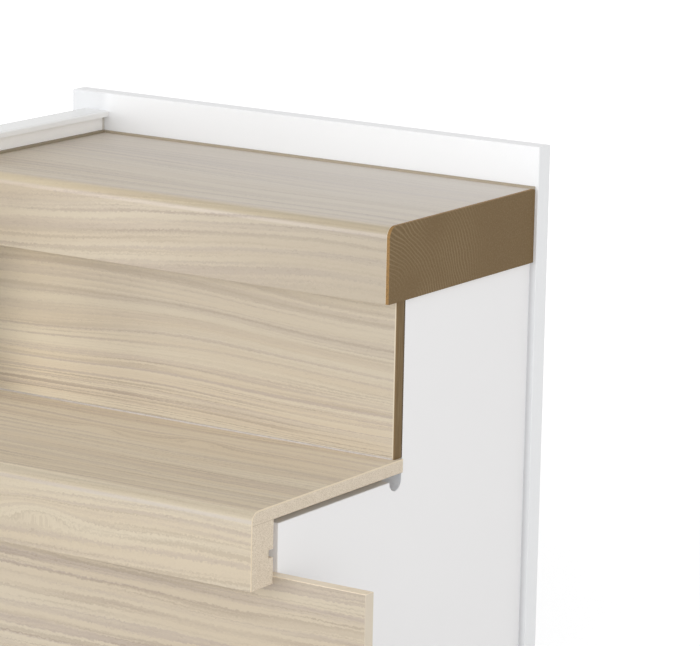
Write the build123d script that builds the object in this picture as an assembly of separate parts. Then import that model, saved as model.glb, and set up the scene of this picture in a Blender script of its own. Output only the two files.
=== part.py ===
from build123d import *
import os

os.makedirs("parts", exist_ok=True)

# Work frame: X = 0 is the open end of the stair and the treads run towards -X,
# Y = 0 is the front face of the back board and the stair comes forward along -Y,
# Z = 0 is the floor. The finished unit is moved at the end, so that the origin
# is the middle of its footprint on the floor. All lengths are in millimetres.

# Stair layout
first_rise = 210             # floor to lower tread, before the floor covering is laid
rise = 190                   # lower tread to upper tread
going = 183                  # nosing front to nosing front
upper_tread_depth = 219      # back board to the front of the upper nosing
tread_run = 444              # left panel face to the open end of the treads
expansion_gap = 3            # at the left ends of the cladding and behind the lower tread

# White boards
board_thickness = 18         # side panel, left panel and back board
board_upstand = 35           # back board above the upper tread
board_proud = 3              # back board beyond the open end
board_left_reach = 16        # back board beyond the left panel
board_edge_round = 0.8       # arris of every white board
edge_round_share = 0.4       # most that an edge may be rounded, as a share of the board's thickness
carcass_thickness = 18       # hidden boards under the treads and behind the risers
panel_step_gap = 6           # side panel edge below the underside of a tread
relief_radius = 8.5          # half-round router relief in the inner corner

# Left panel with its cap strip
left_margin = 20             # left panel in front of the lower nosing
left_upstand = 14.5          # left panel above the upper tread
cap_thickness = 5
cap_inner_lip = 6
cap_outer_lip = 3
cap_front_lip = 3
cap_round = 1.5

# Tread cladding: a core plate with a block under its front edge, wrapped in laminate
core_thickness = 9.8
laminate_thickness = 1.2
nosing_depth = 29
nosing_height = 61.5
nosing_radius = 9
groove_drop = 34             # tread surface to the top of the groove
groove_height = 6.5
groove_depth = 6

# Risers and end covers
riser_thickness = 11
riser_edge_round = 0.6
lower_riser_reach = 84       # lower riser beyond the open end
lower_riser_lap = 6          # lower riser above the underside of the lower nosing
end_cap_thickness = 3
end_cap_back_round = 1.5
end_strip_thickness = 2

# Cleats under the carcass treads
cleat_size = 20
cleat_end_gap = 2

# Countersunk screws
cleat_screw_diameter = 4
cleat_screw_length = 35
cleat_screw_head = 8
cleat_screw_socket = 2.5
board_screw_diameter = 5
board_screw_length = 50
board_screw_head = 10
board_screw_socket = 3
screw_end_margin = 40        # first and last screw of a row from the ends of the board
screw_sink = 0.2             # screw head below the surface
screw_clearance = 0.1        # all round each screw

# Levels and faces worked out from the sizes above
lower_tread_top = first_rise
upper_tread_top = first_rise + rise
tread_thickness = core_thickness + laminate_thickness
lower_support = lower_tread_top - tread_thickness
upper_support = upper_tread_top - tread_thickness
upper_nosing_front = -upper_tread_depth
lower_nosing_front = upper_nosing_front - going
upper_carcass_face = upper_nosing_front + nosing_depth
lower_nosing_back = lower_nosing_front + nosing_depth
lower_carcass_face = lower_nosing_back + riser_thickness
upper_carcass_back = upper_carcass_face + carcass_thickness
left_face = -tread_run
left_outer_face = left_face - board_thickness
left_panel_front = lower_nosing_front - left_margin
left_panel_top = upper_tread_top + left_upstand
cladding_left = left_face + expansion_gap
lower_plate_back = upper_carcass_face - expansion_gap
panel_face = -end_cap_thickness
panel_inner_face = panel_face - board_thickness
riser_end = panel_face - end_strip_thickness


def block(x0, x1, y0, y1, z0, z1):
    """A straight board between two values on each axis."""
    centre = Pos((x0 + x1) / 2, (y0 + y1) / 2, (z0 + z1) / 2)
    return centre * Box(abs(x1 - x0), abs(y1 - y0), abs(z1 - z0))


def along_x(face, x0, x1):
    """A profile drawn on the YZ plane, pushed out from x0 to x1."""
    return Pos(x0, 0, 0) * extrude(face, x1 - x0, dir=(1, 0, 0))


def outline(points):
    """A closed YZ outline through (y, z) points."""
    return make_face(Plane.YZ * Polyline(*points, close=True))


def nosed_outline(front, back, bottom, top, radius):
    """A YZ rectangle whose upper front corner is rounded."""
    straight = Polyline((front, top - radius), (front, bottom), (back, bottom),
                        (back, top), (front + radius, top))
    corner = RadiusArc((front + radius, top), (front, top - radius), -radius)
    return make_face(Plane.YZ * (straight + corner))


def rounded(solid, edges, radius):
    """A board with some edges rounded, by less than the radius if the board is thin."""
    thinnest = min(solid.bounding_box().size)
    return fillet(edges, min(radius, edge_round_share * thinnest))


def spread(start, end, count):
    """Evenly spaced places from start to end, both included."""
    return [start + (end - start) * step / (count - 1) for step in range(count)]


def countersunk(diameter, length, head):
    """The outer form of a countersunk screw along -Z, its flat head at Z = 0."""
    head_height = (head - diameter) / 2
    cone = Pos(0, 0, -head_height / 2) * Cone(diameter / 2, head / 2, head_height)
    shank = Pos(0, 0, -length / 2) * Cylinder(diameter / 2, length)
    return cone + shank


def screw(diameter, length, head, socket_width):
    """A countersunk screw with a hexagon socket, sunk below Z = 0."""
    socket_depth = (head - diameter) / 2
    hexagon = RegularPolygon(socket_width / 2, 6, major_radius=False)
    socket = extrude(hexagon, -socket_depth)
    return Pos(0, 0, -screw_sink) * (countersunk(diameter, length, head) - socket)


def screw_hole(diameter, length, head):
    """The space that a sunk screw takes with its clearance, open at Z = 0."""
    wide = 2 * screw_clearance
    space = countersunk(diameter + wide, length + screw_clearance, head + wide)
    mouth = Pos(0, 0, -screw_sink / 2) * Cylinder(head / 2 + screw_clearance, screw_sink)
    return Pos(0, 0, -screw_sink) * space + mouth


def side_panel():
    """The white stepped panel that closes the open side under the treads."""
    lower_edge = lower_support - panel_step_gap
    upper_edge = upper_support - panel_step_gap
    stepped = outline([(0, 0), (lower_carcass_face, 0), (lower_carcass_face, lower_edge),
                       (upper_carcass_face, lower_edge), (upper_carcass_face, upper_edge),
                       (0, upper_edge)])
    panel = along_x(stepped, panel_inner_face, panel_face)
    relief = Pos((panel_face + panel_inner_face) / 2, upper_carcass_face - relief_radius, lower_edge)
    panel -= relief * Rot(0, 90, 0) * Cylinder(relief_radius, 2 * board_thickness)
    outer_edges = panel.faces().sort_by(Axis.X)[-1].edges()
    return rounded(panel, outer_edges, board_edge_round)


def left_panel():
    """The white panel on the closed side, level along its top."""
    panel = block(left_outer_face, left_face, left_panel_front, 0, 0, left_panel_top)
    front_edges = panel.faces().sort_by(Axis.Y)[0].edges().filter_by(Axis.Z)
    return rounded(panel, front_edges, board_edge_round)


def left_cap():
    """The strip that lies along the top of the left panel."""
    cap = block(left_outer_face - cap_outer_lip, left_face + cap_inner_lip,
                left_panel_front - cap_front_lip, 0, left_panel_top, left_panel_top + cap_thickness)
    top_edges = cap.edges().group_by(Axis.Z)[-1].filter_by(Axis.Y)
    front_edges = cap.faces().sort_by(Axis.Y)[0].edges()
    return rounded(cap, top_edges + front_edges, cap_round)


def back_board():
    """The white upright board behind the stair."""
    board = block(left_outer_face - board_left_reach, board_proud, 0, board_thickness,
                  0, upper_tread_top + board_upstand)
    upright_edges = board.edges().filter_by(Axis.Z)
    top_edges = board.edges().group_by(Axis.Z)[-1]
    return rounded(board, upright_edges + top_edges, board_edge_round)


def carcass_tread(front, back, support):
    """The hidden board that a tread is glued on."""
    return block(left_face, panel_inner_face, front, back, support - carcass_thickness, support)


def carcass_riser(face, bottom, top):
    """The hidden board behind a riser."""
    return block(left_face, panel_inner_face, face, face + carcass_thickness, bottom, top)


def tread_core(front, back, top, right):
    """The plate of a tread under its laminate."""
    profile = nosed_outline(front + laminate_thickness, back, top - tread_thickness,
                            top - laminate_thickness, nosing_radius - laminate_thickness)
    return along_x(profile, cladding_left, right)


def nosing_block(front, top, right):
    """The block glued under the front of a tread, grooved along its back."""
    back = front + nosing_depth
    piece = block(cladding_left, right, front + laminate_thickness, back,
                  top - nosing_height, top - tread_thickness)
    groove_top = top - groove_drop
    groove = block(cladding_left, right, back - groove_depth, back,
                   groove_top - groove_height, groove_top)
    return piece - groove


def tread_laminate(front, back, top, right):
    """The sheet over a tread, bent round the nosing and down its front."""
    bottom = top - nosing_height
    outer = nosed_outline(front, back, bottom, top, nosing_radius)
    inner = nosed_outline(front + laminate_thickness, back, bottom, top - laminate_thickness,
                          nosing_radius - laminate_thickness)
    return along_x(outer - inner, cladding_left, right)


def tread_end_cap():
    """The dark plate that covers the open end of the upper tread."""
    profile = nosed_outline(upper_nosing_front, 0, upper_tread_top - nosing_height,
                            upper_tread_top, nosing_radius)
    cap = along_x(profile, panel_face, 0)
    back_edge = cap.edges().filter_by(Axis.X).group_by(Axis.Z)[-1].sort_by(Axis.Y)[-1]
    return fillet(back_edge, end_cap_back_round)


def riser(face, right, bottom, top):
    """A riser board whose back lies on the given face."""
    board = block(cladding_left, right, face - riser_thickness, face, bottom, top)
    return rounded(board, board.edges().group_by(Axis.Z)[-1], riser_edge_round)


def side_cleat(panel_side, inner_side, front, back, support):
    """A batten on the inner side of a side panel, under a carcass tread."""
    top = support - carcass_thickness
    return block(panel_side, inner_side, front, back, top - cleat_size, top)


def screw_row(turn, places):
    """The places of like screws, all driven the same way."""
    return [Pos(*place) * turn for place in places]


# Turns that send a screw along an axis
driven_right = Rot(0, -90, 0)
driven_left = Rot(0, 90, 0)
driven_back = Rot(90, 0, 0)
driven_forward = Rot(-90, 0, 0)

# Cleats, with their ends clear of the carcass risers
right_cleat_side = panel_inner_face - cleat_size
left_cleat_side = left_face + cleat_size
upper_cleat_front = upper_carcass_back + cleat_end_gap
lower_cleat_front = lower_carcass_face + carcass_thickness + cleat_end_gap
upper_cleat_middle = upper_support - carcass_thickness - cleat_size / 2
lower_cleat_middle = lower_support - carcass_thickness - cleat_size / 2
upper_cleat_screws = spread(upper_cleat_front + screw_end_margin, -screw_end_margin, 2)
lower_cleat_screws = spread(lower_cleat_front + screw_end_margin,
                            upper_carcass_back - screw_end_margin, 2)
across = spread(left_face + screw_end_margin, panel_inner_face - screw_end_margin, 3)

cleat_screw_places = (
    screw_row(driven_right, [(right_cleat_side, y, upper_cleat_middle) for y in upper_cleat_screws])
    + screw_row(driven_right, [(right_cleat_side, y, lower_cleat_middle) for y in lower_cleat_screws])
    + screw_row(driven_left, [(left_cleat_side, y, upper_cleat_middle) for y in upper_cleat_screws])
    + screw_row(driven_left, [(left_cleat_side, y, lower_cleat_middle) for y in lower_cleat_screws])
    + screw_row(driven_back, [(x, -cleat_size, upper_cleat_middle) for x in across])
)

# Screws through the back board into the panel edges and the upper carcass tread
panel_heights = spread(screw_end_margin, upper_support - panel_step_gap - screw_end_margin, 3)
panel_middles = [panel_face - board_thickness / 2, left_face - board_thickness / 2]
upper_carcass_middle = upper_support - carcass_thickness / 2
lower_carcass_middle = lower_support - carcass_thickness / 2
back_screw_places = screw_row(
    driven_forward,
    [(x, board_thickness, z) for x in panel_middles for z in panel_heights]
    + [(x, board_thickness, upper_carcass_middle) for x in across],
)

# Screws through the left panel into the ends of the carcass boards
upper_riser_middle = upper_carcass_face + carcass_thickness / 2
lower_riser_middle = lower_carcass_face + carcass_thickness / 2
upper_tread_screws = spread(upper_carcass_face + screw_end_margin, -screw_end_margin, 2)
lower_tread_screws = spread(lower_nosing_back + screw_end_margin,
                            upper_carcass_back - screw_end_margin, 2)
upper_riser_screws = spread(lower_support + screw_end_margin,
                            upper_support - carcass_thickness - screw_end_margin, 2)
lower_riser_screws = spread(screw_end_margin,
                            lower_support - carcass_thickness - screw_end_margin, 2)
left_screw_places = screw_row(
    driven_right,
    [(left_outer_face, y, upper_carcass_middle) for y in upper_tread_screws]
    + [(left_outer_face, y, lower_carcass_middle) for y in lower_tread_screws]
    + [(left_outer_face, upper_riser_middle, z) for z in upper_riser_screws]
    + [(left_outer_face, lower_riser_middle, z) for z in lower_riser_screws],
)

cleat_screw_size = (cleat_screw_diameter, cleat_screw_length, cleat_screw_head)
board_screw_size = (board_screw_diameter, board_screw_length, board_screw_head)


def fasteners(row, socket_width):
    """All screws of one row list, as separate solids in one piece."""
    places, size = row
    return Compound([place * screw(*size, socket_width) for place in places])


def drilled(board, *rows):
    """A board with the holes of the given screws cut out."""
    for places, size in rows:
        hole = screw_hole(*size)
        board = board - [place * hole for place in places]
    return board


cleat_row = (cleat_screw_places, cleat_screw_size)
back_row = (back_screw_places, board_screw_size)
left_row = (left_screw_places, board_screw_size)

lower_riser_top = lower_tread_top - nosing_height + lower_riser_lap

pieces = {
    "side_panel": drilled(side_panel(), cleat_row, back_row),
    "left_panel": drilled(left_panel(), cleat_row, back_row, left_row),
    "left_cap": left_cap(),
    "back_board": drilled(back_board(), cleat_row, back_row),
    "carcass_tread_upper": drilled(carcass_tread(upper_carcass_face, 0, upper_support),
                                   back_row, left_row),
    "carcass_tread_lower": drilled(carcass_tread(lower_nosing_back, upper_carcass_back, lower_support),
                                   left_row),
    "carcass_riser_upper": drilled(carcass_riser(upper_carcass_face, lower_support,
                                                 upper_support - carcass_thickness), left_row),
    "carcass_riser_lower": drilled(carcass_riser(lower_carcass_face, 0,
                                                 lower_support - carcass_thickness), left_row),
    "cleat_right_upper": drilled(side_cleat(panel_inner_face, right_cleat_side, upper_cleat_front,
                                            0, upper_support), cleat_row),
    "cleat_right_lower": drilled(side_cleat(panel_inner_face, right_cleat_side, lower_cleat_front,
                                            upper_carcass_back, lower_support), cleat_row),
    "cleat_left_upper": drilled(side_cleat(left_face, left_cleat_side, upper_cleat_front,
                                           0, upper_support), cleat_row),
    "cleat_left_lower": drilled(side_cleat(left_face, left_cleat_side, lower_cleat_front,
                                           upper_carcass_back, lower_support), cleat_row),
    "cleat_back": drilled(block(left_cleat_side + cleat_end_gap, right_cleat_side - cleat_end_gap,
                                -cleat_size, 0, upper_cleat_middle - cleat_size / 2,
                                upper_cleat_middle + cleat_size / 2), cleat_row),
    "tread_upper_core": tread_core(upper_nosing_front, 0, upper_tread_top, panel_face),
    "tread_upper_nosing": nosing_block(upper_nosing_front, upper_tread_top, panel_face),
    "tread_upper_laminate": tread_laminate(upper_nosing_front, 0, upper_tread_top, panel_face),
    "tread_upper_end_cap": tread_end_cap(),
    "tread_lower_core": tread_core(lower_nosing_front, lower_plate_back, lower_tread_top, 0),
    "tread_lower_nosing": nosing_block(lower_nosing_front, lower_tread_top, 0),
    "tread_lower_laminate": tread_laminate(lower_nosing_front, lower_plate_back, lower_tread_top, 0),
    "riser_upper": riser(upper_carcass_face, riser_end, lower_tread_top,
                         upper_tread_top - nosing_height),
    "riser_upper_end_strip": block(riser_end, panel_face, upper_carcass_face - riser_thickness,
                                   upper_carcass_face, lower_tread_top,
                                   upper_tread_top - nosing_height),
    "riser_lower": riser(lower_carcass_face, lower_riser_reach, 0, lower_riser_top),
    "cleat_screws": fasteners(cleat_row, cleat_screw_socket),
    "back_screws": fasteners(back_row, board_screw_socket),
    "left_screws": fasteners(left_row, board_screw_socket),
}

# The unit is moved so that the origin is the middle of its footprint on the floor
footprint = Compound(list(pieces.values())).bounding_box()
middle = footprint.center()
to_origin = Pos(-middle.X, -middle.Y, -footprint.min.Z)

for name, piece in pieces.items():
    export_step(to_origin * piece, f"parts/{name}.step")
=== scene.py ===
import math

import bpy
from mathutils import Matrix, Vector


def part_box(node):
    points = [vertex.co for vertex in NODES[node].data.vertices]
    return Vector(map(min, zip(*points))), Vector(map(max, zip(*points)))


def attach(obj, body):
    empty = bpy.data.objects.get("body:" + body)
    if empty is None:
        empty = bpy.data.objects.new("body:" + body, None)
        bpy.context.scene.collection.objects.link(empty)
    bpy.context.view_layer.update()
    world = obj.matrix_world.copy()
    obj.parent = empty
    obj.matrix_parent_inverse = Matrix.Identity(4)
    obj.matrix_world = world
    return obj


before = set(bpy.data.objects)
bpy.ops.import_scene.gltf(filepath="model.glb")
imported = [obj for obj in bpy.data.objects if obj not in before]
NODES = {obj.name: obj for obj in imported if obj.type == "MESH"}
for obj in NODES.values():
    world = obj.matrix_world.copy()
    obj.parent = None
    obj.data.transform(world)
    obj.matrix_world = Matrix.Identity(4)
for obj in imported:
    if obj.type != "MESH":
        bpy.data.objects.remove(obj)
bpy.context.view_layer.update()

bl_info = {
    "name": "Stair end unit finishes",
    "version": (1, 0, 0),
    "blender": (4, 5, 0),
    "location": "View3D > Sidebar > Stair end",
    "description": "Finishes, joint beads and studio for the open end of a boxed stair",
    "category": "Object",
}

MM = 0.001
PLAIN = (1, 1, 1)  # a tone that changes nothing
BLACK = (0, 0, 0, 1)
WHITE = (1, 1, 1, 1)


# Settings

def linear(level):
    """A display level from 0 to 255 as a linear share of light."""
    share_of_white = level / 255
    if share_of_white <= 0.04045:
        return share_of_white / 12.92
    return ((share_of_white + 0.055) / 1.055) ** 2.4


def colour(name, description, red, green, blue):
    """A colour setting, its default given as display levels."""
    return bpy.props.FloatVectorProperty(
        name=name, description=description, subtype="COLOR", size=4, min=0, max=1,
        default=(linear(red), linear(green), linear(blue), 1))


def length(name, description, value):
    """A length setting in metres."""
    return bpy.props.FloatProperty(name=name, description=description, default=value,
                                   min=0, subtype="DISTANCE", unit="LENGTH")


def share(name, description, value):
    """An amount from 0 to 1."""
    return bpy.props.FloatProperty(name=name, description=description, default=value,
                                   min=0, max=1, subtype="FACTOR")


def wattage(name, description, value):
    """A lamp's power in watts."""
    return bpy.props.FloatProperty(name=name, description=description, default=value,
                                   min=0, unit="POWER")


class StairEndColours(bpy.types.PropertyGroup):
    """The colours of all finishes."""
    board: colour("Back board", "Satin coating of the back board", 242, 243, 244)
    side: colour("Side panel", "Satin coating of the panel on the open side", 245, 244, 244)
    cap: colour("Cap strip", "Strip on the left panel", 243, 243, 242)
    # Painted light: paler than the other whites, to light the left panel's shaded inner face
    left: colour("Left panel", "Coating of the panel on the closed side", 251, 250, 248)
    wood_pale: colour("Pale wood", "Lightest wood tone of the cladding", 206, 194, 172)
    wood_tan: colour("Tan wood", "Warm tone between the streaks", 202, 188, 165)
    wood_streak: colour("Streaks", "Greyish streaks of the figure", 184, 170, 155)
    wood_line: colour("Grain lines", "Fine dark lines of the grain", 160, 145, 128)
    # Painted sheen: a pale grey standing in for the sheen on the upper tread's top
    wood_painted_sheen: colour("Painted wood sheen", "The upper tread where it has faded", 216, 210, 204)
    edging: colour("Edging", "Plain edging of the riser boards", 215, 202, 181)
    fibre: colour("Fibre board", "Sawn face of the tread core", 239, 225, 205)
    fibre_dark: colour("Fibres", "Darker fibres in the sawn face", 206, 189, 164)
    sheet_edge: colour("Sheet edge", "Cut edge of the laminate", 238, 222, 196)
    cover: colour("Cover", "Outer face of the dark end covers", 114, 92, 60)
    cover_ring: colour("Cover rings", "Lighter rings in the end covers", 142, 122, 90)
    cover_edge: colour("Cover edge", "Edges of the end covers", 154, 119, 72)
    # Painted shade: stands in for the shadowed gap behind the riser cover
    cover_gap_shade: colour("Cover gap shade", "Dark joint behind the riser cover", 88, 72, 50)
    strip_edge: colour("Riser cover edge", "Front edge of the riser cover", 120, 98, 68)
    carcass: colour("Carcass board", "Raw board under the treads", 210, 193, 164)
    carcass_chip: colour("Carcass chips", "Darker chips of the raw board", 172, 146, 108)
    cleat: colour("Cleat wood", "Planed softwood", 226, 196, 146)
    cleat_line: colour("Cleat grain", "Summer growth of the softwood", 190, 140, 84)
    steel: colour("Screws", "Zinc plated steel", 200, 202, 204)
    # Painted shade: the gap bead's dark colour stands in for the shade in the gap
    bead_gap: colour("Gap bead", "Dark sealant beside the left panel", 141, 128, 105)
    # Painted shade: the back bead's tan stands in for the contact shade along the back board
    bead_back: colour("Back bead", "Tan sealant along the back board", 166, 153, 132)
    bead_corner: colour("Corner bead", "Pale sealant behind the left panel", 198, 194, 187)
    bead_foot: colour("Foot bead", "Pale sealant at the upper riser's foot", 197, 190, 184)
    floor: colour("Floor", "Studio floor", 232, 232, 232)


class StairEndGrain(bpy.types.PropertyGroup):
    """The scale of the wood, fibre and coating patterns."""
    band_width: length("Band width", "Usual width of a pale or tan band", 24 * MM)
    streak_width: length("Streak width", "Usual width of a greyish streak", 7 * MM)
    line_width: length("Line width", "Usual spacing of the fine lines", 2.8 * MM)
    flow: length("Flow", "How far the figure wanders across the board", 42 * MM)
    wiggle: length("Wiggle", "How far a single line wanders", 4 * MM)
    ripple: length("Ripple", "How ragged the edges of the streaks are", 5 * MM)
    streaks: share("Streak strength", "How much of the streak colour shows", 0.7)
    lines: share("Line strength", "How much of the line colour shows", 0.4)
    gloss: share("Laminate roughness", "Roughness of the laminate", 0.28)
    ring: length("Ring spacing", "Spacing of the rings in the end covers", 3.4 * MM)
    speckle: length("Speckle", "Size of a fibre in the sawn core", 0.8 * MM)
    peel: length("Coating texture", "Size of the texture in the white coating", 1.6 * MM)


class StairEndBeads(bpy.types.PropertyGroup):
    """The joint beads, which the solids leave out."""
    gap_start: length("Gap bead start", "From a nosing's front to the gap bead", 9 * MM)
    gap_rise: length("Gap bead rise", "Gap bead's height above the tread", 2.2 * MM)
    gap_depth: length("Gap bead depth", "Gap bead's depth below the tread", 3 * MM)
    gap_round: length("Gap bead rounding", "Rounding of the gap bead", 0.9 * MM)
    back_leg: length("Back bead", "Height and depth of the bead at the back board", 2.1 * MM)
    corner_leg: length("Corner bead", "Width and depth of the upright bead", 1.2 * MM)
    foot_leg: length("Foot bead", "Height and depth of the bead at the riser's foot", 1.2 * MM)


class StairEndStudio(bpy.types.PropertyGroup):
    """Camera, floor and light."""
    place: bpy.props.FloatVectorProperty(
        name="Camera place", description="Where the camera stands", subtype="TRANSLATION",
        unit="LENGTH", default=(1.79292, -2.50291, 0.95968))
    turn: bpy.props.FloatVectorProperty(
        name="Camera turn", description="How the camera is turned", subtype="EULER",
        unit="ROTATION",
        default=(math.radians(77.8527), math.radians(-1.1246), math.radians(33.505)))
    lens: bpy.props.FloatProperty(
        name="Lens", description="Focal length for a 36 mm wide frame", default=199.442,
        min=1, max=500, unit="CAMERA")
    sky: bpy.props.FloatProperty(
        name="Sky", description="Strength of the light from all round", default=0.64, min=0)
    front: wattage("Front lamp", "Power of the lamp in front", 45)
    corner: wattage("Corner lamp", "Power of the lamp at the right front", 15)
    side: wattage("Side lamp", "Power of the lamp at the right", 33)
    accent: wattage("Accent lamp", "Power of the low lamp that lights up the nosings", 27)
    glow: share("Floor glow", "Light added to the floor where it is seen or mirrored", 0.72)
    near_glow: share("Near floor glow", "The same where the unit's shadow falls", 0.45)
    near: length("Near floor", "Distance up to which the near glow holds", 0.4)
    far: length("Far floor", "Distance from which the full glow holds", 2.5)


SETTINGS = {
    "stair_end_colours": StairEndColours,
    "stair_end_grain": StairEndGrain,
    "stair_end_beads": StairEndBeads,
    "stair_end_studio": StairEndStudio,
}


# Building nodes

def socket_name(word):
    """A socket's name from a keyword: base_color becomes Base Color."""
    return "Specular IOR Level" if word == "specular" else word.replace("_", " ").title()


class Net:
    """Adds nodes to one material or group and joins them."""

    def __init__(self, tree):
        self.tree = tree

    def feed(self, socket, value):
        """Gives an input a plain value or another node's output."""
        if isinstance(value, bpy.types.NodeSocket):
            self.tree.links.new(value, socket)
        else:
            socket.default_value = value

    def join(self, node, **inputs):
        """Gives several inputs of a node their values."""
        for word, value in inputs.items():
            self.feed(node.inputs[socket_name(word)], value)

    def put(self, kind, inputs=None, **options):
        """One shader node with its options and inputs."""
        node = self.tree.nodes.new("ShaderNode" + kind)
        for name, value in options.items():
            setattr(node, name, value)
        for name, value in (inputs or {}).items():
            self.feed(node.inputs[name], value)
        return node

    def use(self, name, **inputs):
        """The outputs of a node group that is given its inputs."""
        node = self.put("Group", node_tree=bpy.data.node_groups[name])
        self.join(node, **inputs)
        return node.outputs

    def math(self, operation, *values):
        """A sum on one, two or three values."""
        return self.put("Math", dict(enumerate(values)), operation=operation).outputs[0]

    def within(self, value, start, full):
        """0 at one limit, 1 at the other and a soft step between them. Either may be larger."""
        inputs = {"Value": value, "From Min": start, "From Max": full}
        return self.put("MapRange", inputs, interpolation_type="SMOOTHSTEP").outputs[0]

    def between(self, factor, first, second):
        """A value from first to second by a factor from 0 to 1."""
        inputs = {"Value": factor, "To Min": first, "To Max": second}
        return self.put("MapRange", inputs).outputs[0]

    def mix(self, factor, first, second, blend="MIX"):
        """One colour over another."""
        inputs = {"Factor": factor, 6: first, 7: second}
        return self.put("Mix", inputs, data_type="RGBA", blend_type=blend).outputs[2]

    def over(self, base, top, mask, strength):
        """A colour over another where a mask is 1, as strongly as given."""
        return self.mix(self.math("MULTIPLY", mask, strength), base, top)

    def tint(self, base, tone, mask):
        """A colour times a tone where a mask is 1."""
        return self.mix(mask, base, self.mix(1.0, base, (*tone, 1), "MULTIPLY"))

    def split(self, vector):
        """The X, Y and Z of a vector."""
        return self.put("SeparateXYZ", {0: vector}).outputs

    def scaled(self, vector, factor):
        """A vector times one factor."""
        inputs = {0: vector, "Scale": factor}
        return self.put("VectorMath", inputs, operation="SCALE").outputs[0]

    def stretched(self, x, y, z, x_scale, y_scale):
        """A vector from two scaled coordinates and a third that picks the pattern."""
        inputs = {"X": self.math("MULTIPLY", x, x_scale),
                  "Y": self.math("MULTIPLY", y, y_scale), "Z": z}
        return self.put("CombineXYZ", inputs).outputs[0]

    def noise(self, vector, detail=2, roughness=0.5):
        """Cloudy values from 0 to 1 over a vector that is already scaled."""
        inputs = {"Vector": vector, "Scale": 1, "Detail": detail, "Roughness": roughness}
        return self.put("TexNoise", inputs).outputs[0]


def group(name, inputs, outputs):
    """A new node group: its net, its input sockets and its output node."""
    tree = bpy.data.node_groups.new(name, "ShaderNodeTree")
    for way, sockets in (("INPUT", inputs), ("OUTPUT", outputs)):
        for socket, kind in sockets.items():
            tree.interface.new_socket(socket, in_out=way, socket_type="NodeSocket" + kind)
    given = tree.nodes.new("NodeGroupInput").outputs
    return Net(tree), given, tree.nodes.new("NodeGroupOutput")


def material(name):
    """A new material: its net, its surface node and its object coordinates."""
    made = bpy.data.materials.new(name)
    made.use_nodes = True
    net = Net(made.node_tree)
    surface = made.node_tree.nodes["Principled BSDF"]
    return made, net, surface, net.put("TexCoord").outputs["Object"]


def bump(net, surface, height, distance):
    """Gives a surface its relief."""
    relief = net.put("Bump", {"Height": height, "Distance": distance, "Strength": 1.0})
    net.join(surface, normal=relief.outputs[0])


def paint(made, *names):
    """Puts a material on CAD nodes."""
    for name in names:
        mesh_object = NODES[name]
        if not mesh_object.material_slots:
            mesh_object.data.materials.append(made)
        for slot in mesh_object.material_slots:
            slot.material = made


# Shared patterns

# The noises of the wood figure: scales along and across the grain, detail and roughness
FIGURE_NOISES = {
    "Flow": (2.6, 9, 1, 0.4),
    "Wiggle": (13, 60, 2, 0.5),
    "Ripple": (420, 520, 2, 0.6),
    "Band": (1.5, 1, 2, 0.5),
    "Streak": (1.4, 1, 5, 0.65),
    "Line": (3, 1, 3, 0.6),
    "Patch": (4, 1.3, 2, 0.5),
    "Fibre": (130, 2.6, 2, 0.6),
}
# The noise levels at which a part of the figure starts to show and shows in full
FIGURE_LEVELS = {
    "Band": (0.38, 0.62),
    "Streak": (0.47, 0.64),
    "Line": (0.48, 0.62),
    "Patch": (0.38, 0.6),
    "Fibre": (0.5, 0.75),
}
CLOUD_TINT = (0.55, 0.55, 0.57, 1)


def crown_group():
    """Bends the figure into one arch, or into an eye where it rises more than it is wide."""
    words = ("Along", "Across", "Middle Along", "Middle Across", "Length", "Width", "Rise")
    net, given, result = group("Crown", dict.fromkeys(words, "Float"), {"Across": "Float"})

    def squared(value, middle, size):
        """How far a value is from a middle, in sizes and squared."""
        away = net.math("SUBTRACT", given[value], given[middle])
        sizes_away = net.math("DIVIDE", away, given[size])
        return net.math("MULTIPLY", sizes_away, sizes_away)

    away = net.math("ADD", squared("Along", "Middle Along", "Length"),
                    squared("Across", "Middle Across", "Width"))
    hill = net.math("EXPONENT", net.math("MULTIPLY", away, -1))
    arch = net.math("MULTIPLY", hill, given["Rise"])
    net.join(result, across=net.math("SUBTRACT", given["Across"], arch))


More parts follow.
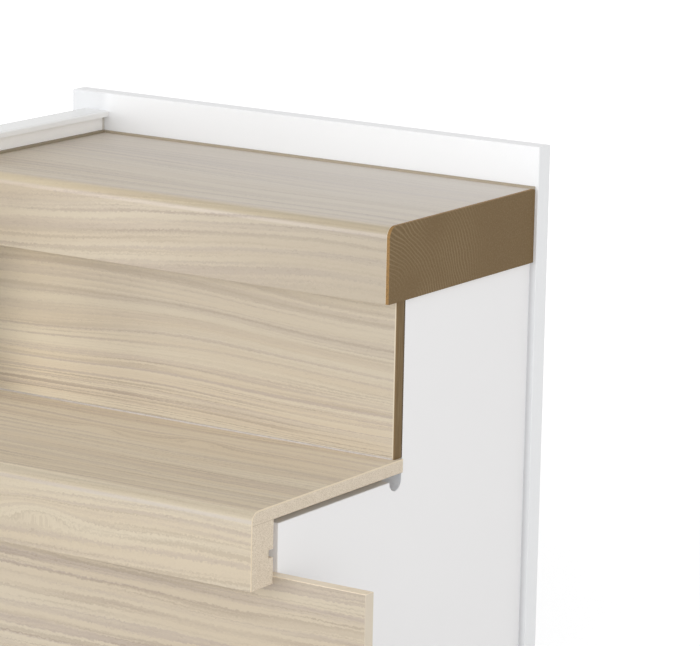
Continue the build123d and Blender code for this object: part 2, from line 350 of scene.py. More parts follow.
def grain_group():
    """Figured wood: colour, relief and gloss over the coordinates along and across the board."""
    numbers = ("Along", "Across", "Pattern", "Flow", "Wiggle", "Ripple",
               "Band Scale", "Streak Scale", "Line Scale", "Streaks", "Lines")
    colours = ("Pale", "Tan", "Streak", "Line")
    net, given, result = group(
        "Wood figure", {**dict.fromkeys(numbers, "Float"), **dict.fromkeys(colours, "Color")},
        {"Color": "Color", "Height": "Float", "Gloss": "Float", "Level": "Float"})

    def noise(word, across):
        """One of the figure's noises."""
        along_scale, across_scale, detail, roughness = FIGURE_NOISES[word]
        vector = net.stretched(given["Along"], across, given["Pattern"], along_scale, across_scale)
        return net.noise(vector, detail, roughness)

    def wander(word):
        """How far one noise moves the figure across the board."""
        centred = net.math("SUBTRACT", noise(word, given["Across"]), 0.5)
        return net.math("MULTIPLY", centred, given[word])

    def shown(word, across):
        """Where one part of the figure shows."""
        return net.within(noise(word, across), *FIGURE_LEVELS[word])

    level = net.math("ADD", net.math("ADD", given["Across"], wander("Flow")),
                     net.math("ADD", wander("Wiggle"), wander("Ripple")))
    band_level = net.math("MULTIPLY", level, given["Band Scale"])
    streak_level = net.math("MULTIPLY", level, given["Streak Scale"])
    line_level = net.math("MULTIPLY", level, given["Line Scale"])
    streaks = shown("Streak", streak_level)
    lines = shown("Line", line_level)
    fibres = shown("Fibre", line_level)
    patches = net.math("ADD", net.math("MULTIPLY", shown("Patch", band_level), 0.7), 0.3)
    base = net.mix(shown("Band", band_level), given["Pale"], given["Tan"])
    streaked = net.over(base, given["Streak"], streaks, given["Streaks"])
    lined = net.over(streaked, given["Line"], net.math("MULTIPLY", lines, patches), given["Lines"])
    fibre_strength = net.math("ADD", net.math("MULTIPLY", streaks, 0.2), 0.12)
    fibred = net.over(lined, given["Line"], fibres, fibre_strength)
    relief = net.math("ADD", net.math("MULTIPLY", lines, -0.6), net.math("MULTIPLY", fibres, -0.4))
    gloss = net.math("ADD", net.math("MULTIPLY", lines, 0.06), net.math("MULTIPLY", fibres, 0.04))
    net.join(result, color=fibred, height=relief, gloss=gloss, level=level)


def edge_group():
    """0 before a limit, 1 past it and an even rise over the softness between them."""
    net, given, result = group(
        "Past a plane", dict.fromkeys(("Value", "Limit", "Softness"), "Float"), {"Mask": "Float"})
    past = net.math("SUBTRACT", given["Value"], given["Limit"])
    rise = net.put("MapRange", {"Value": past, "From Min": 0, "From Max": given["Softness"]})
    net.join(result, mask=rise.outputs[0])


def speckle_group():
    """Sawn fibre board: fibres and specks of a given size."""
    net, given, result = group(
        "Fibre speckle",
        {"Vector": "Vector", "Scale": "Float", "Base": "Color", "Fibre": "Color"},
        {"Color": "Color", "Height": "Float"})
    broad_scale = net.math("MULTIPLY", given["Scale"], 0.18)
    fine = net.noise(net.scaled(given["Vector"], given["Scale"]), detail=3, roughness=0.7)
    broad = net.noise(net.scaled(given["Vector"], broad_scale))
    specks = net.within(fine, 0.45, 0.6)
    clouded = net.over(given["Base"], given["Fibre"], net.within(broad, 0.4, 0.62), strength=0.12)
    speckled = net.over(clouded, given["Fibre"], specks, strength=0.75)
    net.join(result, color=speckled, height=specks)


def coat_group():
    """A smooth coating: faint cloudiness and a fine texture."""
    net, given, result = group(
        "Smooth coating", {"Vector": "Vector", "Scale": "Float", "Base": "Color"},
        {"Color": "Color", "Height": "Float", "Gloss": "Float"})
    fine = net.noise(net.scaled(given["Vector"], given["Scale"]))
    cloud = net.noise(net.scaled(given["Vector"], 7))
    clouded = net.over(given["Base"], CLOUD_TINT, net.within(cloud, 0.35, 0.65), strength=0.02)
    net.join(result, color=clouded, height=fine, gloss=cloud)


# Finishes

# Zones of a laminated board, as depths below its top where they start and where they are full
LEVEL_FACE = (1.5 * MM, 0.3 * MM)
# The bend gets painted light, and the line where it ends a painted highlight
BEND = (6.5 * MM, 4.5 * MM)
HIGHLIGHT_FROM_BELOW = (9.8 * MM, 8.6 * MM)
HIGHLIGHT_FROM_ABOVE = (5.8 * MM, 7 * MM)
# The foot zone starts so far below the board's top and is full so far above its foot
FOOT_START = 30 * MM
FOOT_FULL = 10 * MM
# Width of the painted shade in the corner beside the left panel
PAINTED_SHADE_WIDTH = 94 * MM
# The rings of an end cover: how far their centre lies in front of it and below it, how far they
# wander, and how far behind that centre they are gone and are still clear
RING_CENTRE = (20 * MM, 25 * MM)
RING_WANDER = 20 * MM
RING_FADE = (180 * MM, 110 * MM)
# The riser cover's front line, the edging at its inner side and the painted gap shade at its
# back, as distances from its front, inner side and back where they start and where they are full
FRONT_LINE = (0.6 * MM, 0.1 * MM)
INNER_LINE = (0.9 * MM, 0.5 * MM)
GAP_SHADE_LINE = (-2 * MM, -1.2 * MM)
# Zones of the white boards, as distances where they start and where they are full: the skin of
# a front or upper face, the walls of the router relief behind the outer face and between its
# front and back end, and the back board from the left panel's inner face on. On them the boards
# get painted light and painted shade.
SKIN = (0.3 * MM, 0.1 * MM)
RELIEF_DEPTH = (0.2 * MM, 0.5 * MM)
RELIEF_FRONT = (17.4 * MM, 17.2 * MM)
RELIEF_BACK = (0.4 * MM, 0.2 * MM)
BESIDE_LEFT = (8 * MM, -4 * MM)
# The painted shade on the back board beside the side panel: its width, and a hair past its edges
PAINTED_SIDE_SHADE_WIDTH = 5.5 * MM
HAIR = 0.1 * MM
STEEL_SHADE = (0.35, 0.36, 0.37, 1)
SEALANT_SHADE = (0.3, 0.26, 0.2, 1)
FLOOR_SHADE = (0.7, 0.7, 0.7, 1)


def settings():
    """The colours and the grain settings."""
    scene = bpy.context.scene
    return scene.stair_end_colours, scene.stair_end_grain


def wood(name, pattern, piece, crowns=(), squeeze=0, ripple=1, lines=1, low_lines=1, top_lines=1,
         dark_streaks=(), tone=PLAIN, painted_end_light=PLAIN, reach=None, painted_foot_light=PLAIN,
         painted_bend_light=PLAIN, painted_highlight=PLAIN, painted_top_light=PLAIN, painted_back_light=None, painted_sheen=0, painted_corner_shade=0,
         roughness=1, specular=0.5, edges=()):
    """Figured laminate. The figure runs along X and follows the sheet round the nosing.

    pattern picks the figure. crowns are arches in it, each with its middle x, y and z, length,
    width and rise. squeeze draws the figure closer towards the foot.
    ripple, lines and roughness are factors on the settings. low_lines is one on the lines near
    the foot, and top_lines one on the lines and the ripple of the level top.
    dark_streaks each have a depth below the top, a half width and a strength.
    tone turns into painted_end_light from the left end to x = reach, by default the open end;
    both are painted light, each piece and each end toned lighter or darker as light falls on it.
    painted_foot_light is painted light that holds near the foot, painted_bend_light painted
    light on the bend over a nosing, and painted_highlight a painted highlight on the line where
    that bend ends. painted_top_light turns into painted_back_light over the level top, painted
    light for how much light the top gets, and painted_sheen is how strongly a painted greyish
    sheen shows on the top towards its back and open end. painted_corner_shade is how strongly
    painted shade darkens the corner beside the left panel.
    edges are cut edges, each with an axis, a limit, a softness and a colour."""
    colours, grain = settings()
    made, net, surface, place = material(name)
    low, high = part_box(piece)
    split = net.split(place)
    across = net.math("ADD", split["Y"], split["Z"])
    for middle_x, middle_y, middle_z, along, width, rise in crowns:
        across = net.use("Crown", along=split["X"], across=across, middle_along=middle_x,
                         middle_across=middle_y + middle_z, length=along, width=width,
                         rise=rise)["Across"]
    if squeeze:
        under = net.math("SUBTRACT", across, low.y + high.z)
        drawn = net.math("MULTIPLY", net.math("MULTIPLY", under, under), squeeze)
        across = net.math("SUBTRACT", across, drawn)

    def below_top(start, full):
        """A mask between two depths below the board's top."""
        return net.within(split["Z"], high.z - start, high.z - full)

    top = below_top(*LEVEL_FACE)
    foot = net.within(split["Z"], high.z - FOOT_START, low.z + FOOT_FULL)
    top_factor = net.between(top, 1, top_lines)
    foot_factor = net.between(foot, 1, low_lines)
    line_factor = net.math("MULTIPLY", net.math("MULTIPLY", top_factor, foot_factor), lines)
    figure = net.use("Wood figure", along=split["X"], across=across, pattern=pattern,
                     flow=grain.flow, wiggle=grain.wiggle,
                     ripple=net.math("MULTIPLY", top_factor, grain.ripple * ripple),
                     band_scale=1 / grain.band_width, streak_scale=1 / grain.streak_width,
                     line_scale=1 / grain.line_width,
                     streaks=net.math("MULTIPLY", line_factor, grain.streaks),
                     lines=net.math("MULTIPLY", line_factor, grain.lines),
                     pale=colours.wood_pale, tan=colours.wood_tan,
                     streak=colours.wood_streak, line=colours.wood_line)
    shown = figure["Color"]
    for depth, half_width, strength in dark_streaks:
        away = net.math("SUBTRACT", figure["Level"], low.y + high.z - depth)
        streak = net.within(net.math("ABSOLUTE", away), half_width, 0)
        shown = net.over(shown, colours.wood_line, streak, strength)
    # Painted light: the piece toned lighter or darker along it for how light falls on it
    endward = net.within(split["X"], low.x, high.x if reach is None else reach)
    shown = net.mix(1.0, shown, net.mix(endward, (*tone, 1), (*painted_end_light, 1)), "MULTIPLY")
    # Painted light near the foot
    if painted_foot_light != PLAIN:
        shown = net.tint(shown, painted_foot_light, foot)
    # Painted light: the bend over the nosing toned warmer and darker, for the sheen it lacks
    if painted_bend_light != PLAIN:
        shown = net.tint(shown, painted_bend_light, below_top(*BEND))
    # A painted highlight on the line where the bend ends
    if painted_highlight != PLAIN:
        line = net.math("MULTIPLY", below_top(*HIGHLIGHT_FROM_BELOW), below_top(*HIGHLIGHT_FROM_ABOVE))
        shown = net.tint(shown, painted_highlight, line)
    # Painted light on the level top, and a painted greyish sheen towards its back and open end
    if painted_top_light != PLAIN or painted_sheen:
        backward = net.within(split["Y"], low.y, high.y)
        painted_level_light = net.mix(backward, (*painted_top_light, 1), (*(painted_back_light or painted_top_light), 1))
        top_with_painted_light = net.mix(1.0, figure["Color"], painted_level_light, "MULTIPLY")
        paled_by_painted_sheen = net.math("ADD", net.math("MULTIPLY", endward, 0.5), backward)
        shown = net.mix(top, shown, net.over(top_with_painted_light, colours.wood_painted_sheen, paled_by_painted_sheen, painted_sheen))
    # Painted shade in the corner beside the left panel
    if painted_corner_shade:
        corner = net.within(split["X"], low.x + PAINTED_SHADE_WIDTH, low.x)
        shown = net.over(shown, BLACK, corner, painted_corner_shade)
    for axis, limit, softness, edge_colour in edges:
        mask = net.use("Past a plane", value=split[axis], limit=limit, softness=softness)["Mask"]
        shown = net.mix(mask, shown, edge_colour)
    net.join(surface, base_color=shown, specular=specular,
             roughness=net.math("ADD", figure["Gloss"], grain.gloss * roughness))
    bump(net, surface, figure["Height"], 0.04 * MM)
    return made


def white_coating(name, base, least=0.33, zones=()):
    """Satin white coating of a given least roughness. A zone gives another tone to what lies
    past all of its planes, each an axis with the levels where the tone starts and is full."""
    grain = settings()[1]
    made, net, surface, place = material(name)
    coat = net.use("Smooth coating", vector=place, scale=1 / grain.peel, base=base)
    shown = coat["Color"]
    split = net.split(place)
    for planes, tone in zones:
        mask = 1
        for axis, start, full in planes:
            mask = net.math("MULTIPLY", mask, net.within(split[axis], start, full))
        shown = net.tint(shown, tone, mask)
    gloss = net.math("ADD", net.math("MULTIPLY", coat["Gloss"], 0.1), least)
    net.join(surface, base_color=shown, roughness=gloss)
    bump(net, surface, coat["Height"], 0.02 * MM)
    return made


def fibre_board(name, seam):
    """Sawn fibre board with a hairline seam at one level."""
    colours, grain = settings()
    made, net, surface, place = material(name)
    speckle = net.use("Fibre speckle", vector=place, scale=1 / grain.speckle,
                      base=colours.fibre, fibre=colours.fibre_dark)
    away = net.math("ABSOLUTE", net.math("SUBTRACT", net.split(place)["Z"], seam))
    hairline = net.within(away, 0.55 * MM, 0.15 * MM)
    shown = net.over(speckle["Color"], colours.fibre_dark, hairline, strength=0.75)
    net.join(surface, base_color=shown, roughness=0.85)
    bump(net, surface, speckle["Height"], 0.12 * MM)
    return made


def end_cover(name, piece):
    """Dark cover with end-grain rings on its outer face and a warm edge."""
    colours, grain = settings()
    made, net, surface, place = material(name)
    low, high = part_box(piece)
    split = net.split(place)
    centre_ahead, centre_below = RING_CENTRE
    back = net.math("SUBTRACT", split["Y"], low.y - centre_ahead)
    up = net.math("SUBTRACT", split["Z"], low.z - centre_below)
    squares = net.math("ADD", net.math("MULTIPLY", back, back), net.math("MULTIPLY", up, up))
    wander = net.noise(net.stretched(split["Y"], split["Z"], 0.0, 14, 20))
    ringed = net.math("ADD", net.math("SQRT", squares), net.math("MULTIPLY", wander, RING_WANDER))
    wave = net.math("SINE", net.math("MULTIPLY", ringed, math.tau / grain.ring))
    cloud = net.noise(net.stretched(split["Y"], split["Z"], 3.0, 16, 16), detail=1)
    clear = net.math("MULTIPLY", net.within(cloud, 0.3, 0.6), net.within(back, *RING_FADE))
    rings = net.math("MULTIPLY", net.within(wave, 0.1, 0.95), clear)
    pores = net.within(net.noise(net.scaled(place, 700), detail=3, roughness=0.7), 0.42, 0.68)
    ringed_face = net.over(colours.cover, colours.cover_ring, rings, strength=0.7)
    face = net.over(ringed_face, colours.cover_ring, pores, strength=0.4)
    edge = net.over(colours.cover_edge, colours.cover, pores, strength=0.7)
    outer = net.use("Past a plane", value=split["X"], limit=high.x - 0.25 * MM,
                    softness=0.1 * MM)["Mask"]
    net.join(surface, base_color=net.mix(outer, edge, face), roughness=0.6, specular=0.2)
    bump(net, surface, net.math("ADD", rings, pores), 0.04 * MM)
    return made


def end_strip(name, piece):
    """Dark riser cover with upright grain, a warm front line and painted gap shade at its back."""
    colours = settings()[0]
    made, net, surface, place = material(name)
    low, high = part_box(piece)
    split = net.split(place)

    def beside(axis, level, start, full):
        """A mask between two distances from a level on one axis."""
        return net.within(split[axis], level + start, level + full)

    upright = net.noise(net.stretched(split["Y"], split["Z"], 1.0, 900, 25), roughness=0.6)
    lines = net.within(upright, 0.42, 0.65)
    face = net.over(colours.cover, colours.cover_ring, lines, strength=0.5)
    front = net.mix(beside("X", low.x, *INNER_LINE), colours.strip_edge, colours.edging)
    warmed = net.mix(beside("Y", low.y, *FRONT_LINE), face, front)
    # Painted shade at the back, standing in for the shadowed gap behind the cover
    shown = net.mix(beside("Y", high.y, *GAP_SHADE_LINE), warmed, colours.cover_gap_shade)
    net.join(surface, base_color=shown, roughness=0.6, specular=0.2)
    bump(net, surface, lines, 0.03 * MM)
    return made


def raw_board(name):
    """Raw chip board of the carcass."""
    colours = settings()[0]
    made, net, surface, place = material(name)
    chips = net.put("TexVoronoi", {"Vector": net.scaled(place, 170), "Scale": 1})
    tone = net.put("SeparateColor", {0: chips.outputs["Color"]}).outputs[0]
    dust = net.noise(net.scaled(place, 1400), roughness=0.6)
    chipped = net.over(colours.carcass, colours.carcass_chip,
                       net.within(tone, 0.35, 1.0), strength=0.55)
    dusted = net.over(chipped, colours.carcass_chip, net.within(dust, 0.5, 0.75), strength=0.2)
    net.join(surface, base_color=dusted, roughness=0.8)
    bump(net, surface, net.math("ADD", tone, dust), 0.06 * MM)
    return made


def softwood(name, axis):
    """Planed softwood whose grain runs along one axis."""
    colours = settings()[0]
    made, net, surface, place = material(name)
    split = net.split(place)
    first, second = [split[letter] for letter in "XYZ" if letter != axis]
    stretched = {"X": net.math("MULTIPLY", split[axis], 5), "Y": net.math("MULTIPLY", first, 420),
                 "Z": net.math("MULTIPLY", second, 260)}
    vector = net.put("CombineXYZ", stretched).outputs[0]
    rings = net.within(net.noise(vector, roughness=0.4), 0.46, 0.62)
    shown = net.over(colours.cleat, colours.cleat_line, rings, strength=0.6)
    net.join(surface, base_color=shown, roughness=0.65)
    bump(net, surface, rings, 0.05 * MM)
    return made


def plated_steel(name):
    """Zinc plated screws with fine turning marks."""
    colours = settings()[0]
    made, net, surface, place = material(name)
    marks = net.noise(net.scaled(place, 2600), roughness=0.6)
    shown = net.mix(net.within(marks, 0.35, 0.7), colours.steel, STEEL_SHADE)
    gloss = net.math("ADD", net.math("MULTIPLY", marks, 0.25), 0.22)
    net.join(surface, base_color=shown, roughness=gloss, metallic=1)
    bump(net, surface, marks, 0.02 * MM)
    return made


def sealant(name, base):
    """Slightly glossy sealant with faint ripples."""
    made, net, surface, place = material(name)
    ripple = net.noise(net.scaled(place, 320))
    shown = net.over(base, SEALANT_SHADE, net.within(ripple, 0.4, 0.7), strength=0.2)
    net.join(surface, base_color=shown, roughness=0.45)
    bump(net, surface, ripple, 0.02 * MM)
    return made


# Modelling

SMOOTH_ANGLE = math.radians(40)


def deselect_all():
    """Leaves nothing selected and object mode on."""
    if bpy.context.object and bpy.context.object.mode != "OBJECT":
        bpy.ops.object.mode_set(mode="OBJECT")
    bpy.ops.object.select_all(action="DESELECT")


def start_block(name, low, high):
    """A block between two corners, ready to be shaped."""
    deselect_all()
    centre = [(a + b) / 2 for a, b in zip(low, high)]
    size = [b - a for a, b in zip(low, high)]
    bpy.ops.mesh.primitive_cube_add(size=1, location=centre)
    piece = bpy.context.object
    piece.name = name
    piece.data.name = name
    piece.scale = size
    bpy.ops.object.transform_apply(location=True, rotation=True, scale=True)
    return piece


def round_edge(piece, sides, width, segments):
    """Rounds the one edge of a block that lies on two of its sides. A side is an axis and +1
    for its high or -1 for its low end."""
    bpy.ops.object.mode_set(mode="EDIT")
    bpy.ops.mesh.select_mode(type="EDGE")
    bpy.ops.mesh.select_all(action="DESELECT")
    bpy.ops.object.mode_set(mode="OBJECT")
    corners = [vertex.co for vertex in piece.data.vertices]
    middle = sum(corners, Vector()) / len(corners)
    found = 0
    for edge in piece.data.edges:
        ends = [corners[i] - middle for i in edge.vertices]
        edge.select = all(getattr(end, axis) * way > 0 for end in ends for axis, way in sides)
        found += edge.select
    if found != 1:
        raise RuntimeError(f"{piece.name}: {found} edges were picked to round")
    bpy.ops.object.mode_set(mode="EDIT")
    bpy.ops.mesh.bevel(offset=width, segments=segments, profile=0.5, affect="EDGES")
    bpy.ops.object.mode_set(mode="OBJECT")


def complete(piece, made):
    """Smooths a new piece, gives it its finish and joins it to the unit."""
    deselect_all()
    piece.select_set(True)
    bpy.context.view_layer.objects.active = piece
    bpy.ops.object.mode_set(mode="EDIT")
    bpy.ops.mesh.select_all(action="SELECT")
    bpy.ops.mesh.normals_make_consistent(inside=False)
    bpy.ops.object.mode_set(mode="OBJECT")
    bpy.ops.object.shade_smooth_by_angle(angle=SMOOTH_ANGLE)
    piece.data.materials.append(made)
    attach(piece, "root")
    deselect_all()


class STAIREND_OT_cladding(bpy.types.Operator):
    """Figured laminate on the treads and risers"""
    bl_idname = "stair_end.cladding"
    bl_label = "Treads and risers"

    def execute(self, context):
        colours = context.scene.stair_end_colours
        sheet, edging = list(colours.sheet_edge), list(colours.edging)

        def end(name, edge_colour, depth=0.2 * MM):
            """The cut edge at a board's open end."""
            return ("X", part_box(name)[1].x - depth, 0.05 * MM, edge_colour)

        # The tones below are painted light and shade, toning each piece for how light falls on it
        name = "tread_upper_laminate"
        low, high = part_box(name)
        climb = (0.15, low.y, high.z - 30 * MM, 240 * MM, 60 * MM, 24 * MM)
        paint(wood("tread_upper_wood", 2.3, name, crowns=[climb], ripple=1.1, lines=0.9,
                   top_lines=1.15, dark_streaks=[(46 * MM, 3 * MM, 0.3)],
                   tone=(1.03, 1.03, 1.045), painted_end_light=(0.785, 0.79, 0.81),
                   painted_bend_light=(1, 0.98, 0.9), painted_highlight=(1.08, 1.08, 1.14),
                   painted_top_light=(0.985, 0.965, 0.955), painted_sheen=0.5, roughness=1.4,
                   edges=[end(name, sheet)]), name)
        name = "tread_lower_laminate"
        low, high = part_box(name)
        eyes = [(-0.055, -0.057), (-0.142, 0.023), (0.038, -0.044)]
        crowns = [(x, y, high.z, 26 * MM, 9 * MM, 13 * MM) for x, y in eyes]
        crowns.append((-0.003, low.y, low.z + 29 * MM, 34 * MM, 9 * MM, 11 * MM))
        paint(wood("tread_lower_wood", 7.1, name, crowns=crowns, ripple=1.3, top_lines=0.9,
                   tone=(0.94, 0.94, 0.945), painted_end_light=(1.02, 1.03, 1.055),
                   painted_bend_light=(0.92, 0.915, 0.89), painted_highlight=(0.95, 0.965, 1.06),
                   painted_top_light=(1.15, 1.15, 1.16), painted_back_light=(1.29, 1.31, 1.36), painted_corner_shade=0.08,
                   roughness=2.6, specular=0.12, edges=[end(name, sheet)]), name)
        name = "riser_upper"
        low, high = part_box(name)
        arch = (-0.02, low.y, high.z - 40 * MM, 120 * MM, 60 * MM, 11 * MM)
        paint(wood("riser_upper_wood", 4.7, name, crowns=[arch], squeeze=8, lines=0.6,
                   low_lines=2.9, dark_streaks=[(27 * MM, 5 * MM, 0.4), (61 * MM, 4 * MM, 0.45)],
                   tone=(1.3, 1.31, 1.32), painted_end_light=(0.85, 0.85, 0.86), reach=-0.06,
                   painted_foot_light=(1.2, 1.22, 1.24), painted_corner_shade=0.5,
                   edges=[end(name, edging, 0.4 * MM)]), name)
        name = "riser_lower"
        top = ("Z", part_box(name)[1].z - 0.5 * MM, 0.2 * MM, sheet)
        # Painted shade: the whole lower riser toned darker for how light falls on it
        tone = (0.91, 0.91, 0.92)
        paint(wood("riser_lower_wood", 9.4, name, lines=1.4, tone=tone, painted_end_light=tone,
                   edges=[end(name, edging), top]), name)
        return {"FINISHED"}


class STAIREND_OT_white_boards(bpy.types.Operator):
    """Satin white coating on the panels, the back board and the cap strip"""
    bl_idname = "stair_end.white_boards"
    bl_label = "White boards"

    def execute(self, context):
        colours = context.scene.stair_end_colours

        def plane(axis, level, distances, way=1):
            """Where a zone starts and is full, past a level or, with -1, before it."""
            start, full = distances
            return axis, level + way * start, level + way * full

        side_low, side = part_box("side_panel")
        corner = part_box("carcass_riser_upper")[0].y
        # Painted light on the side panel's front edge faces, painted shade on its relief's walls
        front = plane("Y", side_low.y, SKIN)
        relief = [plane("X", side.x, RELIEF_DEPTH, -1), plane("Y", corner, RELIEF_FRONT, -1),
                  plane("Y", corner, RELIEF_BACK)]
        zones = [([front], (1.09, 1.09, 1.1)), (relief, (0.86, 0.9, 0.95))]
        paint(white_coating("white_side", colours.side, zones=zones), "side_panel")
        paint(white_coating("white_left", colours.left), "left_panel")

        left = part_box("left_panel")[1].x
        back_low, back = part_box("back_board")
        # Painted shade on the back board's front, more of it beyond the left panel's inner face
        front = plane("Y", back_low.y, SKIN)
        beside_left = plane("X", left, BESIDE_LEFT)
        # Painted shade in the corner beside the side panel, and painted light on the upper face
        painted_shade_by_side_panel = [front, plane("X", side.x, (0, HAIR)), plane("X", side.x, (PAINTED_SIDE_SHADE_WIDTH, 0)),
                  plane("Z", side.z, (HAIR, 0))]
        upper_face = plane("Z", back.z, SKIN, -1)
        zones = [([front], (0.985, 0.99, 1)), ([front, beside_left], (0.865, 0.865, 0.865)),
                 ([upper_face], (1.1, 1.09, 1.09)), (painted_shade_by_side_panel, (0.77, 0.765, 0.765))]
        paint(white_coating("white_back", colours.board, zones=zones), "back_board")
        paint(white_coating("white_cap", colours.cap, least=0.15), "left_cap")
        return {"FINISHED"}


class STAIREND_OT_cores(bpy.types.Operator):
    """Sawn fibre board of the tread plates and nosing blocks"""
    bl_idname = "stair_end.cores"
    bl_label = "Tread cores"

    def execute(self, context):
        for level in ("upper", "lower"):
            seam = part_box(f"tread_{level}_nosing")[1].z
            paint(fibre_board(f"core_{level}", seam),
                  f"tread_{level}_core", f"tread_{level}_nosing")
        return {"FINISHED"}


class STAIREND_OT_end_covers(bpy.types.Operator):
    """Dark covers on the open ends of the upper tread and riser"""
    bl_idname = "stair_end.end_covers"
    bl_label = "End covers"

    def execute(self, context):
        paint(end_cover("tread_cover", "tread_upper_end_cap"), "tread_upper_end_cap")
        paint(end_strip("riser_cover", "riser_upper_end_strip"), "riser_upper_end_strip")
        return {"FINISHED"}


class STAIREND_OT_carcass(bpy.types.Operator):
    """Raw boards, cleats and screws behind the cladding"""
    bl_idname = "stair_end.carcass"
    bl_label = "Carcass, cleats and screws"

    def execute(self, context):
        paint(raw_board("carcass_board"), "carcass_tread_upper", "carcass_tread_lower",
              "carcass_riser_upper", "carcass_riser_lower")
        paint(softwood("cleat_side", "Y"), "cleat_right_upper", "cleat_right_lower",
              "cleat_left_upper", "cleat_left_lower")
        paint(softwood("cleat_across", "X"), "cleat_back")
        paint(plated_steel("screw_steel"), "cleat_screws", "back_screws", "left_screws")
        return {"FINISHED"}


class STAIREND_OT_beads(bpy.types.Operator):
    """Joint beads at the left panel, along the back board and at the upper riser's foot"""
    bl_idname = "stair_end.beads"
    bl_label = "Joint beads"

    def execute(self, context):
        beads = context.scene.stair_end_beads
        colours = context.scene.stair_end_colours
        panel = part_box("left_panel")[1].x
        # The gap beads' dark colour is painted shade for the shaded gap beside the left panel
        dark = sealant("bead_gap", colours.bead_gap)
        for level, back_node in (("upper", "back_board"), ("lower", "riser_upper")):
            low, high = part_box(f"tread_{level}_laminate")
            bead = start_block(
                f"bead_gap_{level}",
                (panel, low.y + beads.gap_start, high.z - beads.gap_depth),
                (low.x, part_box(back_node)[0].y, high.z + beads.gap_rise))
            round_edge(bead, (("x", 1), ("z", 1)), width=beads.gap_round, segments=3)
            complete(bead, dark)

        low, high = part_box("tread_upper_laminate")
        leg = beads.corner_leg
        bead = start_block("bead_corner", (panel, high.y - leg, high.z + beads.gap_rise),
                           (panel + leg, high.y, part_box("left_panel")[1].z))
        round_edge(bead, (("x", 1), ("y", -1)), width=0.6 * leg, segments=3)
        complete(bead, sealant("bead_corner", colours.bead_corner))

        # The back bead's tan colour is painted shade for the contact shade along the back board
        leg = beads.back_leg
        bead = start_block("bead_back", (low.x, high.y - leg, high.z),
                           (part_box("tread_upper_end_cap")[1].x, high.y, high.z + leg))
        round_edge(bead, (("y", -1), ("z", 1)), width=0.7 * leg, segments=4)
        complete(bead, sealant("bead_back", colours.bead_back))

        low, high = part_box("riser_upper")
        leg = beads.foot_leg
        bead = start_block("bead_foot", (low.x, low.y - leg, low.z),
                           (high.x, low.y, low.z + leg))
        round_edge(bead, (("y", -1), ("z", 1)), width=0.5 * leg, segments=3)
        complete(bead, sealant("bead_foot", colours.bead_foot))
        return {"FINISHED"}


# Studio

# Each lamp's turn from the front towards the right, tilt above the floor, width and height
LAMPS = {
    "front": (-14, 16, 2.4, 2.4),
    "corner": (45, 14, 2.4, 2.4),
    "side": (58, 10, 2.4, 2.4),
    "accent": (-34, 5, 1.6, 1.3),
}
LAMP_DISTANCE = 4.2
LAMP_AIM = Vector((0, 0, 0.25))
FLOOR_SIZE = 60
# The floor lies a hair below the unit, so that the two don't flicker where they touch
FLOOR_LEVEL = -0.2 * MM
FLOOR_CLOUDS = 3  # in one metre
SENSOR_WIDTH = 36  # in millimetres
VIEW_DISTANCE = 100


def area_lamp(name, turn, tilt, width, height, power):
    """A soft lamp that looks at the unit, its turn and tilt given in degrees."""
    data = bpy.data.lights.new(name, "AREA")
    data.shape = "RECTANGLE"
    data.size = width
    data.size_y = height
    data.energy = power
    lamp = bpy.data.objects.new(name, data)
    bpy.context.scene.collection.objects.link(lamp)
    turn, tilt = math.radians(turn), math.radians(tilt)
    away = Vector((math.sin(turn) * math.cos(tilt), -math.cos(turn) * math.cos(tilt),
                   math.sin(tilt)))
    lamp.location = LAMP_AIM + LAMP_DISTANCE * away
    lamp.rotation_euler = (-away).to_track_quat("-Z", "Y").to_euler()


def floor_finish(scene):
    """Nearly white floor that glows where it is seen or mirrored, less so near the unit."""
    studio = scene.stair_end_studio
    made, net, surface, place = material("studio_floor")
    ripple = net.noise(net.scaled(place, FLOOR_CLOUDS))
    shown = net.over(scene.stair_end_colours.floor, FLOOR_SHADE, ripple, strength=0.03)
    away = net.put("VectorMath", {0: place}, operation="LENGTH").outputs["Value"]
    level = net.between(net.within(away, studio.near, studio.far), studio.near_glow, studio.glow)
    ray = net.put("LightPath").outputs
    direct = net.math("MULTIPLY", ray["Is Camera Ray"], level)
    mirrored = net.math("MAXIMUM", ray["Is Glossy Ray"], ray["Is Transmission Ray"])
    glow = net.math("MAXIMUM", direct, net.math("MULTIPLY", mirrored, studio.glow))
    net.join(surface, base_color=shown, roughness=0.9, specular=0.1,
             emission_color=WHITE, emission_strength=glow)
    return made


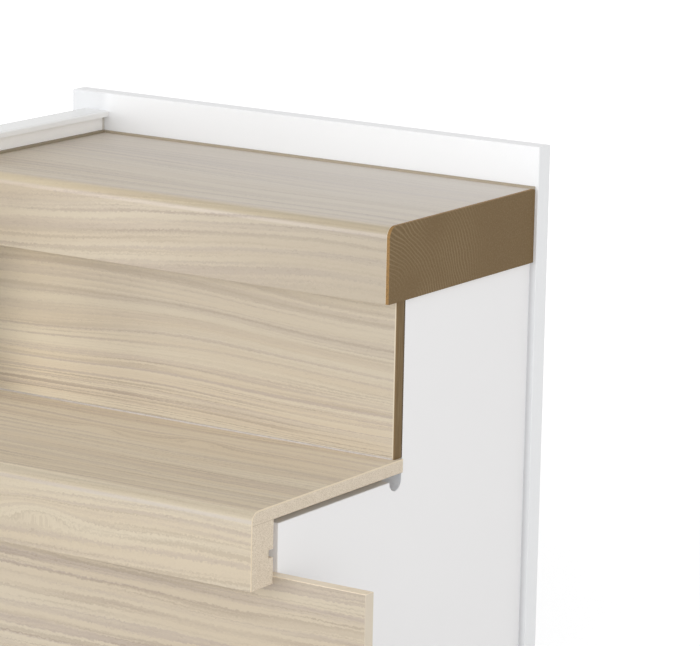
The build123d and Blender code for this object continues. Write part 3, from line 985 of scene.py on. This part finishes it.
class STAIREND_OT_studio(bpy.types.Operator):
    """White floor, soft light and the camera"""
    bl_idname = "stair_end.studio"
    bl_label = "Studio"

    def execute(self, context):
        scene = context.scene
        studio = scene.stair_end_studio
        deselect_all()
        bpy.ops.mesh.primitive_plane_add(size=FLOOR_SIZE, location=(0, 0, FLOOR_LEVEL))
        floor = context.object
        floor.name = "studio_floor"
        floor.data.materials.append(floor_finish(scene))

        world = bpy.data.worlds.new("studio")
        scene.world = world
        world.use_nodes = True
        sky = Net(world.node_tree)
        ray = sky.put("LightPath").outputs
        seen = sky.math("MAXIMUM", ray["Is Camera Ray"], ray["Is Glossy Ray"])
        seen = sky.math("MAXIMUM", seen, ray["Is Transmission Ray"])
        sky.join(world.node_tree.nodes["Background"], color=WHITE,
                 strength=sky.math("MAXIMUM", seen, studio.sky))

        for name, stand in LAMPS.items():
            area_lamp(f"{name}_lamp", *stand, power=getattr(studio, name))

        camera = bpy.data.objects.new("camera", bpy.data.cameras.new("camera"))
        scene.collection.objects.link(camera)
        camera.location = studio.place
        camera.rotation_euler = studio.turn
        camera.data.lens = studio.lens
        camera.data.sensor_width = SENSOR_WIDTH
        camera.data.clip_end = VIEW_DISTANCE
        scene.camera = camera
        scene.view_settings.view_transform = "Standard"
        return {"FINISHED"}


OPERATORS = (STAIREND_OT_cladding, STAIREND_OT_white_boards, STAIREND_OT_cores,
             STAIREND_OT_end_covers, STAIREND_OT_carcass, STAIREND_OT_beads, STAIREND_OT_studio)


class STAIREND_PT_sidebar(bpy.types.Panel):
    """The unit's finishes and their settings"""
    bl_idname = "STAIREND_PT_sidebar"
    bl_label = "Stair end"
    bl_space_type = "VIEW_3D"
    bl_region_type = "UI"
    bl_category = "Stair end"

    def draw(self, context):
        for operator in OPERATORS:
            self.layout.operator(operator.bl_idname)
        for name, settings_class in SETTINGS.items():
            box = self.layout.box()
            box.label(text=settings_class.__doc__)
            for setting in settings_class.__annotations__:
                box.prop(getattr(context.scene, name), setting)


def register():
    """Registers the classes and gives every scene the settings."""
    for made in (*SETTINGS.values(), *OPERATORS, STAIREND_PT_sidebar):
        bpy.utils.register_class(made)
    for name, settings_class in SETTINGS.items():
        setattr(bpy.types.Scene, name, bpy.props.PointerProperty(type=settings_class))


def unregister():
    """Takes the settings and the classes away again."""
    for name in SETTINGS:
        delattr(bpy.types.Scene, name)
    for made in (STAIREND_PT_sidebar, *reversed(OPERATORS), *reversed(SETTINGS.values())):
        bpy.utils.unregister_class(made)


def main():
    """Registers the add-on and runs its operators in order."""
    register()
    for build_group in (crown_group, grain_group, edge_group, speckle_group, coat_group):
        build_group()
    bpy.ops.stair_end.cladding()
    bpy.ops.stair_end.white_boards()
    bpy.ops.stair_end.cores()
    bpy.ops.stair_end.end_covers()
    bpy.ops.stair_end.carcass()
    bpy.ops.stair_end.beads()
    bpy.ops.stair_end.studio()


if __name__ == "__main__":
    main()
